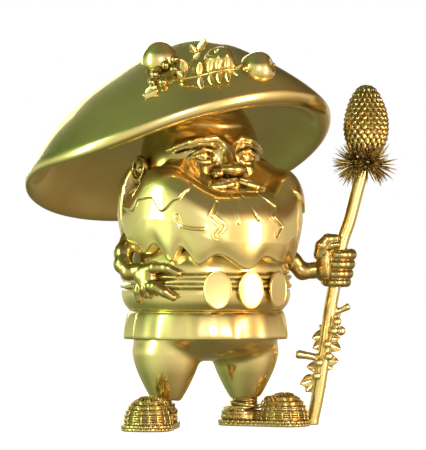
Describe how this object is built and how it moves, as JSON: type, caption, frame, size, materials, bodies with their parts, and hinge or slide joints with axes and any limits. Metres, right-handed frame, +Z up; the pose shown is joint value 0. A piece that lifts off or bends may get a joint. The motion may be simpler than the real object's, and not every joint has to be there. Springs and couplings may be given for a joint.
{
  "type": "forest elder figurine",
  "caption": "Polished brass figurine of a bearded forest elder in a wide mushroom hat, standing on splayed woven shoes and holding a pine cone staff.",
  "frame": {"origin": "middle of the bounding box's footprint, on the surface the shoes stand on", "axes": "+Z up, the figure looks along -Y, its left hand and the staff are on the +X side"},
  "size_m": [0.2204, 0.1946, 0.2505],
  "materials": {
    "polished_brass": "mirror polished, slightly satin, clear",
    "steel": "plain zinc plated hardware"
  },
  "bodies": {
    "figure": {"torso": "polished_brass", "trousers": "polished_brass", "tunic_front_panel": "polished_brass", "tunic_back_panel": "polished_brass", "belt": "polished_brass", "belt_disc_1": "polished_brass", "belt_disc_2": "polished_brass", "belt_disc_3": "polished_brass", "head": "polished_brass", "eye_right": "polished_brass", "brow_right": "polished_brass", "ear_right": "polished_brass", "eye_left": "polished_brass", "brow_left": "polished_brass", "ear_left": "polished_brass", "nose": "polished_brass", "hand_left": "polished_brass", "arm_left": "polished_brass", "hand_right": "polished_brass", "arm_right": "polished_brass", "beard": "polished_brass", "hair_mane": "polished_brass", "moustache_right": "polished_brass", "moustache_left": "polished_brass", "lip_tuft": "polished_brass", "hat": "polished_brass", "hat_mushroom_stem": "polished_brass", "hat_mushroom_cap": "polished_brass", "hat_apple_1": "polished_brass", "apple_stalk_1": "polished_brass", "hat_apple_2": "polished_brass", "apple_stalk_2": "polished_brass", "hat_berries_upper": "polished_brass", "hat_berries_lower": "polished_brass", "leaf_sprig_upper": "polished_brass", "leaf_sprig_lower": "polished_brass", "hat_leaf": "polished_brass", "shoe_sole_right": "polished_brass", "shoe_upper_right": "polished_brass", "ankle_wrap_right": "polished_brass", "leg_pin_right": "steel", "arm_pin_right": "steel", "shoe_sole_left": "polished_brass", "shoe_upper_left": "polished_brass", "ankle_wrap_left": "polished_brass", "leg_pin_left": "steel", "arm_pin_left": "steel", "tie_rod": "steel", "tie_washer": "steel", "tie_nut": "steel"},
    "staff": {"staff_shaft": "polished_brass", "pine_cone": "polished_brass", "needle_tuft": "polished_brass", "cone_pin": "steel", "staff_berries": "polished_brass", "staff_leaves_upper": "polished_brass", "staff_leaves_lower": "polished_brass"}
  },
  "joints": [
    {"name": "staff_lift", "type": "slide", "parent": "figure", "child": "staff", "axis": [0.1534, -0.0886, 0.9842], "range_m": [0, 0.01]}
  ]
}
